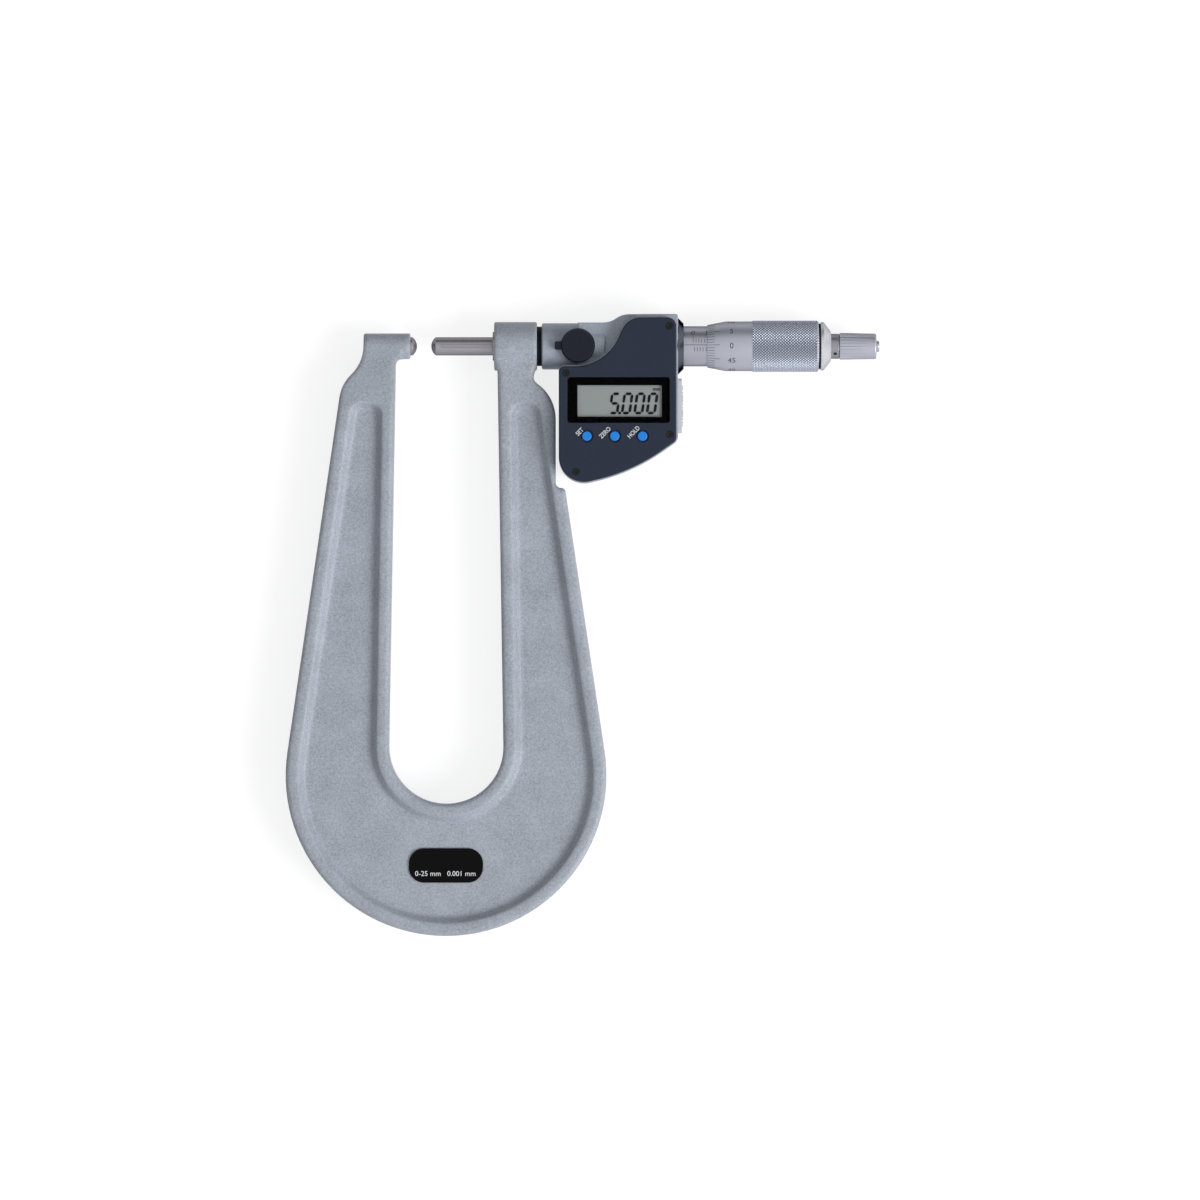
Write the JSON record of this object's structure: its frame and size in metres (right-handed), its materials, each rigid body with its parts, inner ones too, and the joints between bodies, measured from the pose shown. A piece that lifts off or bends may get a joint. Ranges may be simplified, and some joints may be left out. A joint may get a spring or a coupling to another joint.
{
  "type": "sheet metal micrometer",
  "caption": "Outside micrometer with a deep U frame, ball tips and a display head, for measuring sheet thickness away from the edge.",
  "frame": {"origin": "tip of the anvil on the measuring axis", "axes": "+X along the measuring axis from the anvil to the head, +Y from the throat to the axis, +Z out of the face with the display; the micrometer lies on its back"},
  "size_m": [0.2074, 0.217, 0.0223],
  "materials": {
    "casting_paint": "speckled enamel",
    "ground_steel": "fine ground",
    "satin_chrome": "satin plated",
    "polished_steel": "mirror",
    "plate_black": "anodised",
    "cover_slate": "fine grained moulding",
    "knob_black": "moulded",
    "ring_black": "moulded",
    "seal_rubber": "soft",
    "button_blue": "smooth",
    "window_clear": "clear",
    "lcd_grey": "satin",
    "board_green": "solder mask",
    "rotor_amber": "laminate",
    "screw_black": "black oxide",
    "spring_steel": "bright",
    "shoe_brass": "turned",
    "port_grey": "moulded"
  },
  "bodies": {
    "root": {"frame": "casting_paint", "head_casting": "casting_paint", "anvil": "ground_steel", "spindle_guide": "ground_steel", "inner_sleeve": "ground_steel", "adjusting_nut": "ground_steel", "scale_sleeve": "satin_chrome", "barrel_ring": "polished_steel", "name_plate": "plate_black", "front_cover": "cover_slate", "lcd_holder": "knob_black", "battery_holder": "knob_black", "output_socket": "knob_black", "head_seal": "seal_rubber", "spindle_wiper": "seal_rubber", "cover_gasket": "seal_rubber", "button_mat": "seal_rubber", "elastomer_strips": "seal_rubber", "display_window": "window_clear", "lcd_panel": "lcd_grey", "circuit_board": "board_green", "encoder_stator": "board_green", "cover_screws": "screw_black", "switch_domes": "spring_steel", "battery_contact_side": "spring_steel", "battery_contact_top": "spring_steel", "battery_cell": "spring_steel", "clamp_shoe": "shoe_brass", "output_cap": "port_grey"},
    "rotor": {"encoder_rotor": "rotor_amber", "rotor_key": "ground_steel"},
    "spindle_set": {"spindle": "ground_steel", "thimble": "satin_chrome", "thimble_washer": "ring_black", "thimble_end_cap": "satin_chrome", "ratchet_neck": "satin_chrome", "ratchet_screw": "satin_chrome"},
    "ratchet": {"ratchet_knob": "satin_chrome", "ratchet_pawl": "spring_steel", "ratchet_spring": "spring_steel"},
    "clamp": {"clamp_knob": "knob_black", "clamp_screw": "ground_steel"},
    "set_key": {"button_set": "button_blue"},
    "zero_key": {"button_zero": "button_blue"},
    "hold_key": {"button_hold": "button_blue"},
    "battery_door": {"battery_cap": "knob_black", "battery_cap_seal": "seal_rubber"}
  },
  "joints": [
    {"name": "spindle_turn", "type": "hinge", "parent": "root", "child": "rotor", "pos_m": [0, 0, 0], "axis": [1, 0, 0], "range_deg": [-3600, 14400]},
    {"name": "spindle_travel", "type": "slide", "parent": "rotor", "child": "spindle_set", "axis": [1, 0, 0], "range_m": [-0.005, 0.02]},
    {"name": "ratchet_turn", "type": "hinge", "parent": "spindle_set", "child": "ratchet", "pos_m": [0.15, 0, 0], "axis": [1, 0, 0], "continuous": true},
    {"name": "clamp_turn", "type": "hinge", "parent": "root", "child": "clamp", "pos_m": [0.0563, 0, 0.008], "axis": [0, 0, 1], "range_deg": [-60, 0]},
    {"name": "set_press", "type": "slide", "parent": "root", "child": "set_key", "axis": [0, 0, -1], "range_m": [0, 0.0004], "stiffness_N_per_m": 1500},
    {"name": "zero_press", "type": "slide", "parent": "root", "child": "zero_key", "axis": [0, 0, -1], "range_m": [0, 0.0004], "stiffness_N_per_m": 1500},
    {"name": "hold_press", "type": "slide", "parent": "root", "child": "hold_key", "axis": [0, 0, -1], "range_m": [0, 0.0004], "stiffness_N_per_m": 1500},
    {"name": "battery_cap_turn", "type": "hinge", "parent": "root", "child": "battery_door", "pos_m": [0.0695, -0.0245, -0.01], "axis": [0, 0, -1], "range_deg": [0, 60]}
  ],
  "couplings": [
    {"joint": "spindle_turn", "follows": "spindle_travel", "rad_per_m": 12566}
  ]
}
